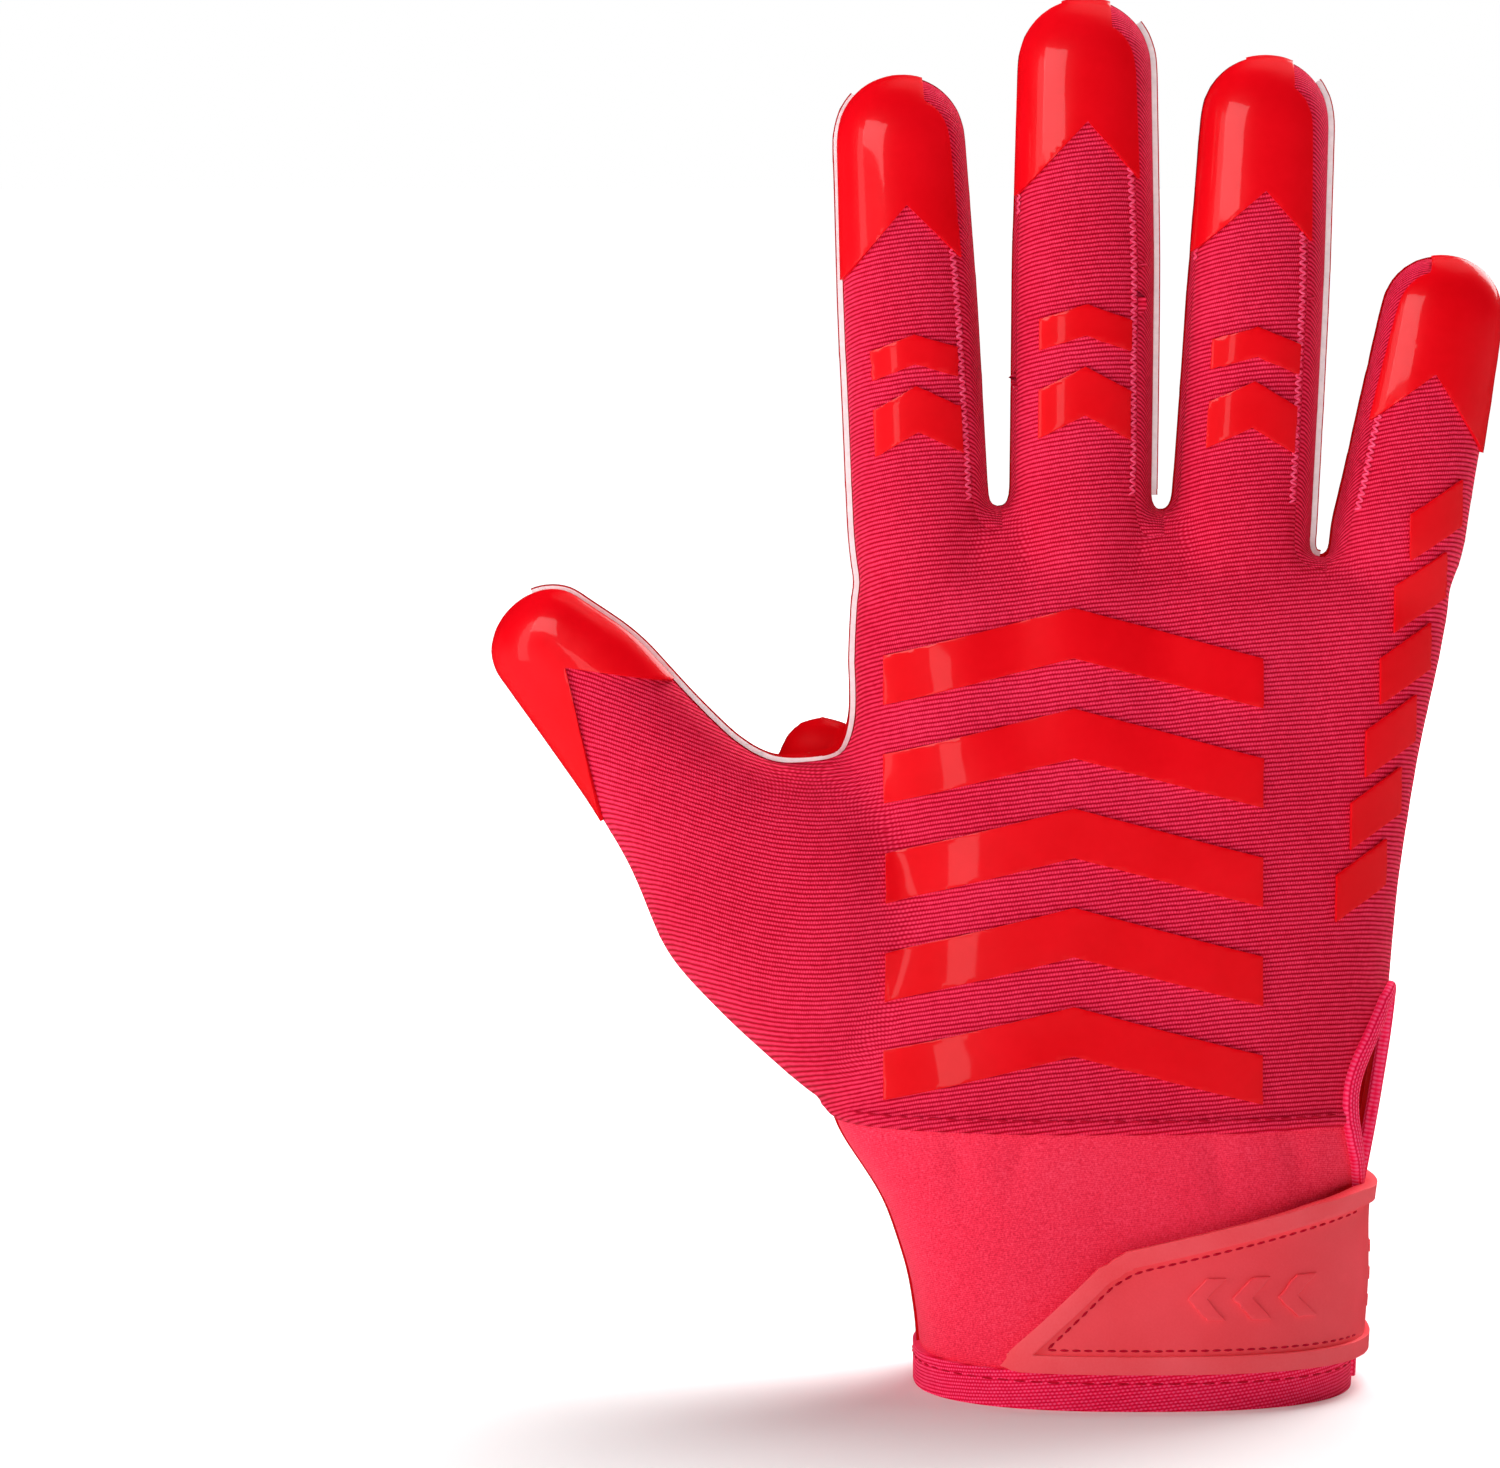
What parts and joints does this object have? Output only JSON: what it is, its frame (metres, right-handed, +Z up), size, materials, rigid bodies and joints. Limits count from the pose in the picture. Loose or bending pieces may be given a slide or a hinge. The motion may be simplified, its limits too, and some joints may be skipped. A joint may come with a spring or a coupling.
{
  "type": "football receiver glove",
  "caption": "Right-hand receiver glove with knit back, glossy tacky palm, raised chevron prints, coated fingertips and a moulded wrist strap with a pull tab.",
  "frame": {"origin": "centre of the wrist opening at the bottom of the hem, where the hand goes in", "axes": "+Z up the hand to the fingertips, +X to the little-finger side, +Y out of the palm, so the back of the hand faces -Y"},
  "size_m": [0.1803, 0.0599, 0.2474],
  "materials": {
    "ribbed_knit": "matte stretch knit with fine cross ribs",
    "palm_silicone": "glossy tacky silicone",
    "cuff_cloth": "smooth matte stretch cloth",
    "binding_tape": "woven elastic tape",
    "print_silicone": "glossy raised silicone",
    "strap_rubber": "satin moulded rubber"
  },
  "bodies": {
    "root": {"back_panel": "ribbed_knit", "palm_panel": "palm_silicone", "fourchette_index_middle": "ribbed_knit", "fourchette_middle_ring": "ribbed_knit", "fourchette_ring_little": "ribbed_knit", "thumb_gusset": "ribbed_knit", "cuff_panel": "cuff_cloth", "hem_binding": "binding_tape", "vent_binding": "binding_tape", "wrist_strap": "strap_rubber", "cap_index": "print_silicone", "cap_middle": "print_silicone", "cap_ring": "print_silicone", "cap_little": "print_silicone", "cap_thumb": "print_silicone", "print_chevron_1": "print_silicone", "print_chevron_2": "print_silicone", "print_chevron_3": "print_silicone", "print_chevron_4": "print_silicone", "print_chevron_5": "print_silicone", "print_index_1": "print_silicone", "print_index_2": "print_silicone", "print_middle_1": "print_silicone", "print_middle_2": "print_silicone", "print_ring_1": "print_silicone", "print_ring_2": "print_silicone", "print_slash_1": "print_silicone", "print_slash_2": "print_silicone", "print_slash_3": "print_silicone", "print_slash_4": "print_silicone", "print_slash_5": "print_silicone", "print_slash_6": "print_silicone"}
  },
  "joints": []
}
